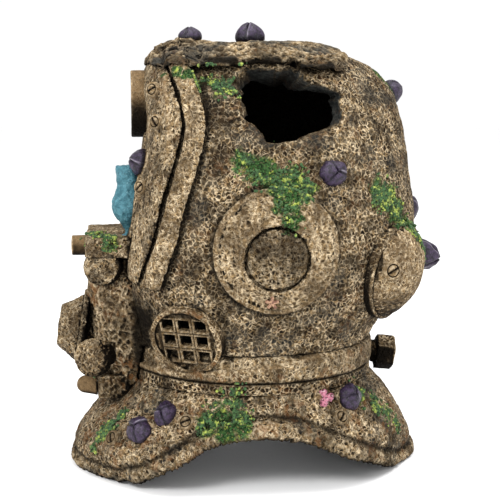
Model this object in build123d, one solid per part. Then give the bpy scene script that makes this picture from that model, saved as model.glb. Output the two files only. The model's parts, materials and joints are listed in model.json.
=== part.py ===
"""Hollow cast-resin diver's helmet that bubbles in an aquarium, as an assembly of named pieces.

Millimetres, +Z up. The helmet looks towards -Y and is modelled about the neck's axis; at the
end everything moves by one step in X and Y, so that the origin is the bottom centre of the box.
"""
from build123d import *
import os

# ---- driving dimensions -------------------------------------------------------------------
WALL = 6.5              # cast wall of the bonnet
CORSELET_WALL = 6.0     # cast wall of the collar plate
CORE_HEIGHT = 0.944     # height of the hollow, as a share of the bonnet's height
NECK_RADIUS = 48.8      # outside of the upper neck ring
NECK_BORE = 40.0        # inside of both neck rings
CORSELET_TOP = 36.0     # where the collar plate meets the lower neck ring
RING_JOINT = 40.0       # where the two neck rings meet
BONNET_BASE = 50.0      # where the bonnet meets the upper neck ring
OUTLINE_POINTS = 24     # points of each horizontal outline
ARCH_TOP = 23.2         # height of the side arches under the collar plate
SKIN = 1.4              # thickness of moss on the resin
PLATE = 1.6             # thickness of the face frame on the bonnet
MOULDING = 3.2          # thickness of the raised moulding behind the face frame
CROWN = 3.2             # thickness of the encrusted crown
SPAN = 90.0             # longer than half the helmet, for cutting right across it

# Horizontal outlines: height, half width, reach to the front, reach to the rear,
# squareness in front and squareness behind (2 is an ellipse).
BONNET = (
    (50.0, 46.5, 47.0, 47.5, 2.2, 2.1),
    (58.0, 49.0, 48.0, 51.5, 2.3, 2.1),
    (67.0, 52.0, 48.5, 57.0, 2.5, 2.1),
    (79.0, 54.0, 48.0, 62.0, 3.0, 2.1),
    (92.0, 54.5, 46.0, 64.5, 3.6, 2.1),
    (105.0, 54.0, 43.8, 64.0, 4.0, 2.1),
    (118.0, 52.0, 41.2, 62.3, 4.2, 2.1),
    (130.0, 49.0, 38.8, 60.2, 4.2, 2.1),
    (142.0, 44.0, 39.4, 57.2, 4.0, 2.1),
    (151.0, 38.0, 39.5, 52.0, 3.4, 2.1),
    (157.5, 30.5, 36.2, 42.5, 2.9, 2.1),
    (161.5, 22.0, 30.0, 29.5, 2.5, 2.1),
    (163.0, 16.0, 23.0, 21.0, 2.3, 2.1),
)
CORSELET = (
    (0.0, 50.0, 68.5, 64.5, 1.8, 1.6),
    (6.0, 56.0, 71.0, 65.6, 1.95, 1.8),
    (14.0, 58.0, 68.0, 62.5, 2.05, 2.0),
    (24.0, 53.5, 59.0, 57.0, 2.1, 2.1),
    (31.0, 50.0, 51.5, 51.5, 2.1, 2.1),
    (36.0, 47.5, 47.5, 47.5, 2.1, 2.1),
)

# Side ports, one each side
PORT_CENTRE = (54.5, 3.5, 90.0)
PORT_RADIUS = 22.5
PORT_DOME_RADIUS = 20.8
PORT_EYE_RADIUS = 10.6
PORT_GROOVE = 1.0
PORT_EYE_DROP = 2.3     # how far the eye sits below the middle of the port
PORT_PLATE = 2.2
PORT_RISE = 3.8

# Domed boss low on the near rear quarter
REAR_BOSS_CENTRE = (30.5, 51.0, 78.9)
REAR_BOSS_NORMAL = (0.62, 0.76, -0.2)
REAR_BOSS_RADIUS = 19.2
REAR_BOSS_DOME = 18.0
REAR_BOSS_LIFT = 1.5
REAR_BOSS_RISE = 9.0

# Chin: latch ledge, canister (height, half width, reach) and its fittings
LEDGE_LOW = 84.2
LEDGE_TOP = 91.3
LEDGE_WIDTH = 48.0
CANISTER_Y = -42.0
CANISTER = ((26.0, 15.0, 15.0), (34.0, 17.5, 16.6), (42.0, 20.0, 19.0), (50.0, 22.0, 20.8),
            (60.0, 23.0, 22.2), (71.0, 22.5, 22.3), (80.0, 20.5, 20.5), (LEDGE_LOW, 18.5, 19.0))
VALVE_CENTRE = (0, -66.4, 54.6)
VALVE_NORMAL = (0, -0.988, 0.157)
VALVE_RADIUS = 13.6
SPITCOCK_CENTRE = (24.0, -62.6, 46.0)
SPITCOCK_NORMAL = (0.86, -0.5, 0.05)
SPITCOCK_RADIUS = 6.9

# Grilles low on the cheeks, one each side
GRILLE_CENTRE = (43.0, -27.2, 56.8)
GRILLE_NORMAL = (0.84, -0.42, -0.34)
GRILLE_RADIUS = 13.9
GRILLE_PLATE_RADIUS = 12.0
GRILLE_BORE = 10.2
GRILLE_HOLE = 4.2
GRILLE_PITCH = 6.4

# Face window and forehead port
WINDOW_HALF = 21.0
WINDOW_SILL = 95.0
WINDOW_SPRING = 107.0
WINDOW_RIM = 3.5
WINDOW_RELIEF = 2.6
FOREHEAD_HEIGHT = 141.0
FOREHEAD_RADIUS = 12.8
FOREHEAD_BORE = 9.0
FOREHEAD_FRONT = 46.5

# Side-view outlines, as (y, z): the break in the bonnet and the arch under the collar plate
BREAK = ((-12, 148), (-8, 153), (-5.5, 154.6), (4.5, 154.2), (12.5, 155.2), (14.5, 152.6), (19.5, 149),
         (24.5, 147), (30.5, 144.5), (28, 142.5), (29, 138.5), (28, 134.5), (23, 131.5), (17, 130.5),
         (12, 128.5), (4, 127), (0.5, 127.5), (-1, 131), (-3.5, 134), (-8, 136), (-7.5, 141.5),
         (-8.5, 144.5))
HEM = ((-53, -1), (-44, 4.5), (-30, 13.5), (-22, 19), (-12, 22), (0, ARCH_TOP), (10, 22.2), (17, 20.2),
       (24, 17), (31, 13.6), (38, 10.2), (46, 5.8), (56, -1))

# Air line: standard 4/6 mm airline over moulded nipples
INLET_POINT = (-37.5, 37.5, 62.0)
INLET_NORMAL = (-1, 1, 0)
GROMMET_RADIUS = 5.0
GROMMET_FLANGE = 7.0
NIPPLE_RADIUS = 2.1
NIPPLE_BORE = 1.2
NIPPLE_REACH = 13.0
AIRLINE_RADIUS = 3.1
STONE_NIPPLE_RADIUS = 2.05
STONE_RADIUS = 6.5
STONE_LENGTH = 27.0
STONE_GAP = 0.4         # room between the air stone and its cradle

NODES = {}


# ---- general shapes -----------------------------------------------------------------------
def sign_power(value, exponent):
    """A power that keeps the sign of its base."""
    size = abs(value) ** exponent
    return size if value >= 0 else -size


def outline(height, half_width, front, rear, front_power, rear_power, grow):
    """A closed horizontal outline, squarer in front and round behind."""
    points = []
    for step in range(OUTLINE_POINTS):
        ray = Vector(1, 0, 0).rotate(Axis.Z, 360 * (step + 0.5) / OUTLINE_POINTS)
        reach, power = (front, front_power) if ray.Y < 0 else (rear, rear_power)
        x = (half_width + grow) * sign_power(ray.X, 2 / power)
        y = (reach + grow) * sign_power(ray.Y, 2 / power)
        points.append((x, y, height))
    return make_face(Spline(*points, periodic=True))


def shell_solid(sections, grow=0.0, stretch=1.0):
    """The filled body through a list of outlines, grown outwards or inwards."""
    base = sections[0][0]
    return loft([outline(base + (row[0] - base) * stretch, *row[1:], grow) for row in sections])


def surface_x(sections, y, z):
    """Half width of a body at one place in the side view."""
    for low, high in zip(sections, sections[1:]):
        if low[0] <= z <= high[0]:
            share = (z - low[0]) / (high[0] - low[0])
            row = [a + (b - a) * share for a, b in zip(low, high)]
            width = row[1]
            reach, power = (row[2], row[4]) if y < 0 else (row[3], row[5])
            return width * max(0.0, 1 - (abs(y) / reach) ** power) ** (1 / power)
    raise ValueError("height outside the body")


def on_side(sections, y, z, lift=0.0):
    """A plane on a body's near side, facing outwards."""
    step = 0.5
    x = surface_x(sections, y, z)
    slope_y = (surface_x(sections, y + step, z) - surface_x(sections, y - step, z)) / (2 * step)
    slope_z = (surface_x(sections, y, z + step) - surface_x(sections, y, z - step)) / (2 * step)
    normal = Vector(1, -slope_y, -slope_z).normalized()
    return Plane(origin=Vector(x, y, z) + normal * lift, z_dir=normal)


def seat(origin, normal):
    """A plane at a point, facing along a normal."""
    return Plane(origin=origin, z_dir=normal)


def side_prism(points, x_low, x_high):
    """A side-view polygon of (y, z) points, carried along X."""
    face = make_face(Polyline(*[(x_low, y, z) for y, z in points], close=True))
    return extrude(face, amount=x_high - x_low, dir=(1, 0, 0))


def curved_prism(curve, corners, x_low, x_high):
    """A side-view outline, a smooth curve closed by straight sides, carried along X."""
    smooth = Spline(*[(x_low, y, z) for y, z in curve])
    straight = Polyline(*[(x_low, y, z) for y, z in (curve[-1], *corners, curve[0])])
    return extrude(make_face(smooth + straight), amount=x_high - x_low, dir=(1, 0, 0))


def disc(plane, radius, low, high, edge=0.0):
    """A round disc along a plane's normal, from low to high, with a rounded outer edge."""
    body = Pos(0, 0, low) * Cylinder(radius, high - low, align=(Align.CENTER, Align.CENTER, Align.MIN))
    if edge:
        body = fillet(body.edges().sort_by(Axis.Z)[-1], edge)
    return plane * body


def taper(plane, low_radius, high_radius, low, high):
    """A round tapered piece along a plane's normal."""
    align = (Align.CENTER, Align.CENTER, Align.MIN)
    return plane * (Pos(0, 0, low) * Cone(low_radius, high_radius, high - low, align=align))


def ring(plane, outer, inner, low, high):
    """A plain ring along a plane's normal."""
    return disc(plane, outer, low, high) - disc(plane, inner, low - 1, high + 1)


def dome(plane, radius, low, rise):
    """A shallow spherical cap of a given foot radius and rise, standing at low."""
    ball_radius = (radius ** 2 + rise ** 2) / (2 * rise)
    ball = Pos(0, 0, low + rise - ball_radius) * Sphere(ball_radius)
    slab = Pos(0, 0, low + rise / 2) * Box(3 * radius, 3 * radius, rise)
    return plane * (ball & slab)


def on_dome(plane, radius, low, rise, x, y):
    """A plane on a dome, at a place given in the dome's own plane."""
    ball_radius = (radius ** 2 + rise ** 2) / (2 * rise)
    height = (ball_radius ** 2 - x ** 2 - y ** 2) ** 0.5
    centre = plane.from_local_coords((0, 0, low + rise - ball_radius))
    point = plane.from_local_coords((x, y, low + rise - ball_radius + height))
    return Plane(origin=point, z_dir=point - centre)


def slotted_screw(plane, radius, head):
    """A pan-head screw with a straight slot, sunk a little into a plane."""
    slot = plane * (Pos(0, 0, head) * Box(2.4 * radius, 0.8, 1.0))
    return disc(plane, radius, -2.0, head, 0.35) - slot


def barnacle(plane, radius, rise, ground):
    """A split barnacle dome stuck on the resin."""
    split = plane * (Pos(0, 0, rise) * Box(2 * radius, 0.7, 1.6))
    body = dome(plane, radius, 0, rise) + disc(plane, radius, -1.8, 0)
    return body - split - ground


def keep(name, *shapes):
    """Store a finished piece, or a group of separate ones, under its name."""
    solids = [solid for shape in shapes for solid in shape.solids()]
    NODES[name] = solids[0] if len(solids) == 1 else Compound(solids)


def across(plane):
    """The matching plane on the far side of the helmet."""
    origin, normal, side = plane.origin, plane.z_dir, plane.x_dir
    return Plane(origin=(-origin.X, origin.Y, origin.Z), x_dir=(-side.X, side.Y, side.Z),
                 z_dir=(-normal.X, normal.Y, normal.Z))


def both_sides(plane):
    """Name beginnings and planes for a fitting that sits on both sides."""
    return (("near_", plane), ("far_", across(plane)))


# ---- reference bodies ---------------------------------------------------------------------
BONNET_BODY = shell_solid(BONNET)
BONNET_CORE = shell_solid(BONNET, -WALL, CORE_HEIGHT)
BONNET_SKIN = shell_solid(BONNET, SKIN, 1.012)
CORSELET_BODY = shell_solid(CORSELET)
CORSELET_CORE = shell_solid(CORSELET, -CORSELET_WALL)
CORSELET_SKIN = shell_solid(CORSELET, SKIN)
NEAR_PORT = Plane(origin=PORT_CENTRE, x_dir=(0, 1, 0), z_dir=(1, 0, 0))
NEAR_GRILLE = Plane(origin=GRILLE_CENTRE, x_dir=(0.45, 0.89, 0), z_dir=GRILLE_NORMAL)
FOREHEAD = seat((0, 0, FOREHEAD_HEIGHT), (0, -1, 0))
REAR_BOSS = Plane(origin=REAR_BOSS_CENTRE, x_dir=(0.77, -0.63, 0), z_dir=REAR_BOSS_NORMAL)
NECK_BODY = disc(Plane.XY, NECK_RADIUS, CORSELET_TOP, BONNET_BASE)
INLET = seat(INLET_POINT, INLET_NORMAL)


# ---- bonnet and face ----------------------------------------------------------------------
def window_opening(grow, y_low, y_high):
    """The arched face window, carried along Y."""
    half = WINDOW_HALF + grow
    depth = y_high - y_low
    sill = WINDOW_SILL - grow
    middle = (y_low + y_high) / 2
    low = Pos(0, middle, (sill + WINDOW_SPRING) / 2) * Box(2 * half, depth, WINDOW_SPRING - sill)
    return low + disc(seat((0, y_high, WINDOW_SPRING), (0, -1, 0)), half, 0, depth)


def broken_hole():
    """The jagged break high on the near side."""
    return side_prism(BREAK, 12, SPAN)


def make_bonnet():
    """The hollow head of the helmet, broken open on the near side."""
    grille_bore = disc(NEAR_GRILLE, GRILLE_BORE, -12, 6)
    shell = BONNET_BODY - BONNET_CORE - disc(Plane.XY, NECK_BORE, BONNET_BASE - 1, BONNET_BASE + 4)
    shell -= broken_hole()
    shell -= window_opening(0, -SPAN, -20)
    shell -= disc(FOREHEAD, FOREHEAD_BORE, 20, SPAN)
    shell -= grille_bore
    shell -= mirror(grille_bore, about=Plane.YZ)
    return shell - disc(INLET, GROMMET_RADIUS, -12, 8)


def groove_line(shift):
    """Side-view line along the back of the moulding, moved forward by shift."""
    line = ((-37, 75), (-34, 85.3), (-30.4, 96.8), (-27.9, 107.5), (-25, 116.4), (-22.4, 125),
            (-20.6, 134), (-22.3, 144.5), (-26, 156), (-29, 170))
    return [(y - shift, z) for y, z in line]


def make_face_pieces():
    """Face frame, moulding, window rim and forehead port."""
    window = window_opening(0, -SPAN, -20)
    front = curved_prism(groove_line(8.2), ((-SPAN, 170), (-SPAN, 88)), -SPAN, SPAN)
    frame = (shell_solid(BONNET, PLATE, 1.012) & front) - BONNET_BODY
    frame -= window_opening(WINDOW_RIM, -SPAN, -20)
    frame -= disc(FOREHEAD, FOREHEAD_RADIUS, 20, SPAN)
    keep("face_frame", frame)
    strip = curved_prism(groove_line(0), groove_line(6.8)[::-1], -SPAN, SPAN)
    keep("face_moulding", (shell_solid(BONNET, MOULDING, 1.02) & strip) - BONNET_BODY)
    rim = (shell_solid(BONNET, WINDOW_RELIEF) & window_opening(WINDOW_RIM, -SPAN, -20)) - window - BONNET_BODY
    keep("face_window_rim", rim - disc(FOREHEAD, FOREHEAD_RADIUS, 20, SPAN))
    collar = ring(FOREHEAD, FOREHEAD_RADIUS, FOREHEAD_BORE, 30, FOREHEAD_FRONT) - BONNET_BODY
    keep("forehead_port_collar", collar)
    keep("forehead_port_lens", disc(FOREHEAD, FOREHEAD_BORE, 37.5, FOREHEAD_FRONT - 1.5, 1.2))
    places = ((-35.6, 145.4), (-35.0, 134.6), (-40.4, 111.0))
    ground = frame + BONNET_BODY
    seats = [on_side(BONNET, y, z, PLATE + 0.5) for y, z in places]
    seats += [across(place) for place in seats]
    keep("face_frame_screws", *[slotted_screw(place, 2.3, 1.2) - ground for place in seats])
    return frame


def make_crown(frame):
    """The encrusted ridge along the crown."""
    line = ((-44, 157), (-33, 155.5), (-22, 155.2), (-8, 155.6), (0.5, 156.4), (13, 156.6), (22, 154),
            (31, 154.5), (35, 158))
    region = side_prism((*line, (36, 175), (-60, 175), (-60, 158)), -SPAN, SPAN)
    crown = (shell_solid(BONNET, CROWN, 1.03) & region) - BONNET_BODY - frame - NODES["face_moulding"]
    keep("crown_ridge", crown)


# ---- ports, grilles and bosses ------------------------------------------------------------
def make_side_port():
    """Plate, dome and inner disc of a blind side port."""
    top = PORT_PLATE + PORT_RISE
    for side, place in both_sides(NEAR_PORT):
        keep(side + "port_plate", disc(place, PORT_RADIUS, -20, PORT_PLATE, 0.9) - BONNET_BODY)
        bulge = dome(place, PORT_DOME_RADIUS, PORT_PLATE, PORT_RISE)
        lowered = Pos(0, 0, -PORT_EYE_DROP)
        outline = ring(place, PORT_EYE_RADIUS + PORT_GROOVE, PORT_EYE_RADIUS, PORT_PLATE + 0.8, top + 1)
        groove = lowered * outline
        eye = lowered * disc(place, PORT_EYE_RADIUS, PORT_PLATE, top + 1)
        keep(side + "port_dome", bulge - groove - eye)
        keep(side + "port_disc", bulge & eye)


def make_grille():
    """Rim and square-holed plate of a breathing grille."""
    ground = BONNET_BODY + NECK_BODY
    steps = [step * GRILLE_PITCH for step in (-1, 0, 1)]
    for side, place in both_sides(NEAR_GRILLE):
        keep(side + "grille_rim", ring(place, GRILLE_RADIUS, GRILLE_PLATE_RADIUS, -9, 2.6) - ground)
        plate = disc(place, GRILLE_PLATE_RADIUS, -8, 1.6) - ground
        for x, y in [(x, y) for x in steps for y in steps]:
            plate -= place * (Pos(x, y, 0) * Box(GRILLE_HOLE, GRILLE_HOLE, 30))
        keep(side + "grille_plate", plate)


def make_rear_boss():
    """Domed valve boss low on the near rear quarter."""
    keep("rear_boss_flange", disc(REAR_BOSS, REAR_BOSS_RADIUS, -16, REAR_BOSS_LIFT, 0.6) - BONNET_BODY)
    bulge = dome(REAR_BOSS, REAR_BOSS_DOME, REAR_BOSS_LIFT, REAR_BOSS_RISE) - BONNET_BODY
    keep("rear_boss_dome", bulge)
    place = on_dome(REAR_BOSS, REAR_BOSS_DOME, REAR_BOSS_LIFT, REAR_BOSS_RISE, 13.6, -3.1)
    screw = slotted_screw(place, 2.6, 1.0)
    keep("rear_boss_screw", screw - bulge - NODES["rear_boss_flange"])


# ---- chin fittings ------------------------------------------------------------------------
def chin_body():
    """The filled chin canister, before the bonnet is taken away from it."""
    return loft([Pos(0, CANISTER_Y, height) * Ellipse(half_width, reach)
                 for height, half_width, reach in CANISTER])


def make_chin(frame):
    """Latch ledge, canister, exhaust valve and spitcock at the chin."""
    ground = BONNET_BODY + frame + NECK_BODY
    canister = chin_body() - ground - CORSELET_BODY - NODES["face_window_rim"]
    keep("chin_canister", canister)
    height = LEDGE_TOP - LEDGE_LOW
    ledge = Pos(0, -54.0, LEDGE_LOW + height / 2) * Box(LEDGE_WIDTH, 20.8, height)
    ledge = fillet(ledge.edges().filter_by(Axis.Z), 3.0)
    keep("latch_ledge", ledge - ground - NODES["face_window_rim"])
    keep("latch_knob", disc(seat((9, -64.4, 87.2), (0, -1, 0)), 3.9, 0, 5.6, 0.6))
    lug = disc(seat((13, -56.7, 80.4), (1, -0.15, 0)), 7.0, 0, 11.0, 1.6)
    keep("latch_lug", lug - ground - canister - NODES["latch_ledge"])
    valve = seat(VALVE_CENTRE, VALVE_NORMAL)
    flange = disc(valve, VALVE_RADIUS, -1.2, 1.2, 0.5) + disc(valve, 8.0, -8, 0)
    keep("valve_flange", flange - canister)
    base = valve * (Pos(0, 0, 1.2) * RegularPolygon(VALVE_RADIUS, 8))
    front = valve * (Pos(0, 0, 9.4) * RegularPolygon(8.2, 8))
    cap = Pos(0, -0.28, -1.78) * loft([base.face(), front.face()])
    keep("valve_cap", cap - NODES["valve_flange"])
    spit = seat(SPITCOCK_CENTRE, SPITCOCK_NORMAL)
    stem = disc(spit, 4.6, -15, -3.4) - canister - NODES["valve_flange"] - ground
    keep("spitcock_stem", stem)
    keep("spitcock_cap", disc(spit, SPITCOCK_RADIUS, -3.4, 2.6, 2.4))


# ---- neck and corselet --------------------------------------------------------------------
def make_neck():
    """The two neck rings and the clamps on them."""
    upper = ring(Plane.XY, NECK_RADIUS, NECK_BORE, RING_JOINT, BONNET_BASE)
    outer_edges = upper.edges().filter_by(GeomType.CIRCLE).group_by(SortBy.RADIUS)[-1]
    upper = chamfer(outer_edges, 1.2)
    lower = ring(Plane.XY, NECK_RADIUS - 0.6, NECK_BORE, CORSELET_TOP, RING_JOINT)
    keep("upper_neck_ring", upper)
    keep("lower_neck_ring", lower)
    rear = seat((2, 46.0, 41.6), (0.06, 1, -0.12))
    keep("rear_clamp_stud", disc(rear, 4.6, -3, 5.0) - NECK_BODY)
    nut = rear * (Pos(0, 0, 5.0) * extrude(RegularPolygon(7.2, 6), amount=7.2))
    keep("rear_clamp_nut", chamfer(nut.edges().group_by(Axis.Y)[-1], 0.8))
    lug = fillet((Pos(10, -54, 32.5) * Box(13, 14, 9)).edges().filter_by(Axis.Z), 2.5)
    keep("front_clamp_lug", lug - NECK_BODY - CORSELET_BODY - NODES["chin_canister"])
    front = seat((10.0, -61.0, 32.5), (0, -1, 0))
    keep("front_clamp_nub", taper(front, 4.6, 3.4, 0, 5.6) + dome(front, 3.4, 5.6, 2.6))


def make_corselet():
    """The flared collar plate on its front and rear flaps."""
    plate = CORSELET_BODY - CORSELET_CORE - disc(Plane.XY, NECK_BORE, CORSELET_TOP - 4, CORSELET_TOP + 1)
    plate -= curved_prism(HEM, (), -SPAN, SPAN)
    keep("corselet", plate)
    places = ((-28.2, 26.5), (-54.9, 16.8), (29.0, 26.4))
    seats = [on_side(CORSELET, y, z, 0.3) for y, z in places]
    seats += [across(place) for place in seats]
    keep("corselet_screws", *[slotted_screw(place, 2.5, 1.1) - CORSELET_BODY for place in seats])


# ---- growths ------------------------------------------------------------------------------
def make_barnacles():
    """Every barnacle that has its own place on the helmet."""
    crown = NODES["crown_ridge"] + BONNET_BODY
    keep("crown_barnacles", barnacle(seat((4, -23.6, 165.2), (0.1, 0, 1)), 4.4, 5.4, crown),
         barnacle(seat((4, -0.5, 166.2), (0.1, 0, 1)), 4.8, 6.2, crown))
    keep("rear_barnacles", barnacle(seat((3, 56.6, 146.5), (0.1, 0.93, 0.36)), 4.2, 3.6, crown),
         barnacle(seat((5, 63.6, 100.0), (0.1, 1, 0)), 4.4, 3.6, crown))
    keep("side_barnacle", barnacle(on_side(BONNET, 25.0, 117.2), 4.2, 4.4, BONNET_BODY))
    boss = NODES["rear_boss_dome"] + NODES["rear_boss_flange"] + BONNET_BODY
    keep("rear_boss_barnacle", barnacle(seat((19, 66.0, 82.5), (0.2, 0.98, 0.05)), 5.0, 6.6, boss))
    face = BONNET_BODY + NODES["face_frame"] + NODES["face_window_rim"]
    keep("face_barnacle", barnacle(seat((21.5, -43.4, 120.2), (0.2, -1, 0)), 4.0, 4.2, face))
    collar = CORSELET_BODY + NECK_BODY
    keep("collar_barnacles", barnacle(on_side(CORSELET, -45.0, 21.5), 4.8, 4.6, collar),
         barnacle(on_side(CORSELET, -35.5, 28.2), 4.2, 4.2, collar),
         barnacle(on_side(CORSELET, 33.6, 32.0), 4.6, 4.4, collar))
    keep("far_barnacles", *[barnacle(across(on_side(BONNET, y, z)), 4.4, 4.4, BONNET_BODY)
                            for y, z in ((-12, 128), (38, 112), (33, 84))])


def make_corals():
    """Blue tube coral on the ledge, pink coral on the collar and a small starfish."""
    at = Pos(13.5, -48.0, 0)
    widths = ((LEDGE_TOP, 3.0), (99.0, 5.2), (103.5, 6.4), (108.0, 5.0), (111.0, 4.3), (118.0, 4.6))
    stalk = loft([at * Pos(0, 0, height) * Circle(radius) for height, radius in widths])
    stalk = stalk - NODES["face_frame"] - NODES["face_window_rim"] - BONNET_BODY
    keep("blue_tube_coral", stalk - NODES["face_barnacle"])
    pink = on_side(CORSELET, 23.3, 33.2)
    lumps = [pink * (Pos(x, y, 0.4) * Sphere(1.5)) for x, y in ((0, 0), (1.9, 0.9), (-1.8, 1.0), (0.6, -1.9))]
    keep("pink_coral", (lumps[0] + lumps[1] + lumps[2] + lumps[3]) - CORSELET_BODY - NECK_BODY)
    star = on_dome(NEAR_PORT, PORT_DOME_RADIUS, PORT_PLATE, PORT_RISE, -1.8, -17.6)
    arms = [star * (Rot(0, 0, 72 * arm) * Pos(1.2, 0, 0.1) * Box(2.4, 1.1, 1.4)) for arm in range(5)]
    ground = NODES["near_port_dome"] + NODES["near_port_plate"]
    keep("starfish", (arms[0] + arms[1] + arms[2] + arms[3] + arms[4]) - ground)


def make_moss():
    """Thin moss skins that follow the surfaces they grow on."""
    def bonnet_moss(points, x_low=0, x_high=SPAN):
        return (BONNET_SKIN & side_prism(points, x_low, x_high)) - BONNET_BODY

    def collar_moss(points, x_low=0):
        return (CORSELET_SKIN & side_prism(points, x_low, SPAN)) - CORSELET_BODY - NECK_BODY

    taken = NODES["face_moulding"] + NODES["face_frame"]
    brow = bonnet_moss(((-20, 154.5), (-9, 155), (-10.5, 148.5), (-13, 146.5), (-19, 149)))
    keep("moss_brow", brow - taken)
    keep("moss_side_port", bonnet_moss(((-8, 119), (6, 118.5), (14, 112), (19, 104), (16, 100), (8, 109.6),
                                        (0, 109.6), (-4, 112))) - NODES["near_port_plate"])
    keep("moss_rear", bonnet_moss(((43, 112), (50, 112), (55, 104), (56, 97), (51, 97.5), (46, 103)), 8)
         - NODES["rear_boss_flange"] - NODES["rear_boss_dome"])
    patches = [collar_moss(((-57, 28), (-53, 28), (-58, 19), (-65, 14), (-66, 17), (-62, 20)), 20),
               collar_moss(((-22, 31), (-8, 35), (-5, 33), (-10, 28.5), (-20, 26.5))),
               collar_moss(((41, 34), (46, 35), (52, 26), (56, 20), (51, 21), (46, 28)))]
    keep("moss_collar", *[skin - NODES["collar_barnacles"] for skin in patches])
    ledge_skin = Pos(14, -58.5, LEDGE_TOP + 0.6) * Box(18, 9, 1.2)
    keep("moss_ledge", ledge_skin - NODES["blue_tube_coral"])
    far_places = (((-2, 132), (16, 136), (22, 126), (10, 118), (-3, 121)),
                  ((34, 100), (46, 104), (48, 90), (40, 92)))
    keep("far_moss", *[bonnet_moss(points, -SPAN, 0) for points in far_places])


# ---- air line -----------------------------------------------------------------------------
def make_air_line():
    """Inlet, inner airline, bracket and the air stone that pulls off."""
    grommet = disc(INLET, GROMMET_RADIUS, -9, 2.2) + (disc(INLET, GROMMET_FLANGE, -8, 2.2, 0.8) - BONNET_BODY)
    keep("inlet_grommet", grommet - disc(INLET, NIPPLE_RADIUS, -20, 20))
    nipple = disc(INLET, NIPPLE_RADIUS, -17, NIPPLE_REACH) + disc(INLET, 3.6, 2.2, 3.4)
    keep("inlet_nipple", nipple - disc(INLET, NIPPLE_BORE, -30, 30))
    keep("inner_airline", ring(INLET, AIRLINE_RADIUS, NIPPLE_RADIUS, -24, -9.2))
    stem = ring(INLET, STONE_NIPPLE_RADIUS, NIPPLE_BORE, -27.5, -17.6)
    stone_low = -25.5 - STONE_LENGTH
    stone = disc(INLET, STONE_RADIUS, stone_low, -25.5)
    stone = fillet(stone.edges(), 0.8)
    keep("air_stone_nipple", stem)
    keep("air_stone", stone - disc(INLET, STONE_NIPPLE_RADIUS, -27.5, -20))


def make_bracket():
    """Arm from the inner wall and the open saddle that carries the air stone."""
    floor = INLET_POINT[2] - STONE_RADIUS - STONE_GAP
    along = Plane(origin=(INLET_POINT[0], INLET_POINT[1], floor), x_dir=(0.7071, -0.7071, 0), z_dir=(0, 0, 1))
    arm = along * (Pos(24, 0, -1.6) * Box(48, 8, 3.2))
    saddle = along * (Pos(40, 0, 1.5) * Box(8, 17, 6.2))
    clear = disc(INLET, STONE_RADIUS + STONE_GAP, -80, 0)
    keep("air_stone_bracket", ((arm + saddle) & BONNET_CORE) - clear)


# ---- assembly -----------------------------------------------------------------------------
def write_parts():
    """Move every piece to the shared origin and write one file for each."""
    box = Compound(list(NODES.values())).bounding_box()
    step = Pos(-(box.min.X + box.max.X) / 2, -(box.min.Y + box.max.Y) / 2, 0)
    print("shift", -(box.min.X + box.max.X) / 2, -(box.min.Y + box.max.Y) / 2, "low", box.min.Z)
    os.makedirs("parts", exist_ok=True)
    for name, shape in NODES.items():
        export_step(step * shape, "parts/" + name + ".step")


keep("bonnet_shell", make_bonnet())
FACE_FRAME = make_face_pieces()
make_crown(FACE_FRAME)
make_side_port()
make_grille()
make_rear_boss()
make_chin(FACE_FRAME)
make_neck()
make_corselet()
make_barnacles()
make_corals()
make_moss()
make_air_line()
make_bracket()
write_parts()
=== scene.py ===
"""A cast resin diving helmet for an aquarium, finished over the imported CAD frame."""
import math

import bmesh
import bpy
import numpy as np
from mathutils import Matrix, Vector
from mathutils.bvhtree import BVHTree
from mathutils.kdtree import KDTree
import json

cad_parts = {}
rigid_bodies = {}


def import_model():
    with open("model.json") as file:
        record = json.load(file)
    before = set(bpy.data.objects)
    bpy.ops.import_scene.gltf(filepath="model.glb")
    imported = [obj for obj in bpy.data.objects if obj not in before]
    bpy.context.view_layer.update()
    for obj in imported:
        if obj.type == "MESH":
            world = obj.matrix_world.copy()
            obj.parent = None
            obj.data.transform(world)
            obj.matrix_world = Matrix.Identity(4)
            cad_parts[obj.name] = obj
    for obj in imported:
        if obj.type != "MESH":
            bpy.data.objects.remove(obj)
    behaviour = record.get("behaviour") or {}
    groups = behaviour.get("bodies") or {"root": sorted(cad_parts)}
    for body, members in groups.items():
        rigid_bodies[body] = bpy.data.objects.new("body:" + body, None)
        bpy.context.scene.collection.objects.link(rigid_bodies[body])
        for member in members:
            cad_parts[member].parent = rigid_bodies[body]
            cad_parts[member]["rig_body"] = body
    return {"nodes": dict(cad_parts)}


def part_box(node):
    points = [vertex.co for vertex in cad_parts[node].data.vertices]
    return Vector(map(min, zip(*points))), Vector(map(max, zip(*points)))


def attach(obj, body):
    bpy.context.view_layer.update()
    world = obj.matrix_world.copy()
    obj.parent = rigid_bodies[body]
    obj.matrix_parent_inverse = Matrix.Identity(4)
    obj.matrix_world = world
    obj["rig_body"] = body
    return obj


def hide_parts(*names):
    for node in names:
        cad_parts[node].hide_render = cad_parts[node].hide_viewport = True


MM = 0.001
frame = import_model()
NODES = frame["nodes"]
BODY_OF = {name: node["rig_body"] for name, node in NODES.items()}


def write_size():
    """Bring the scene's placements up to date, once before the finishing and once after it."""
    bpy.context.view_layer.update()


write_size()

# Where the helmet's own axis stands in the frame, in millimetres
RING_LOW, RING_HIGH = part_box("upper_neck_ring")
AXIS_Y = (RING_LOW.y + RING_HIGH.y) / 2 / MM


# ---- noise --------------------------------------------------------------------------------
def hashed(cells, seed):
    """A steady pseudo-random number from 0 to 1 for each whole-number cell."""
    x, y, z = np.moveaxis(cells, -1, 0)
    n = x * 73856093 ^ y * 19349663 ^ z * 83492791 ^ seed * 2654435761
    n = (n ^ (n >> 13)) * 1274126177 & 0xFFFFFFFF
    n = (n ^ (n >> 16)) * 1911520717 & 0xFFFFFFFF
    return ((n ^ (n >> 15)) & 0xFFFFFF) / float(0xFFFFFF)


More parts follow.
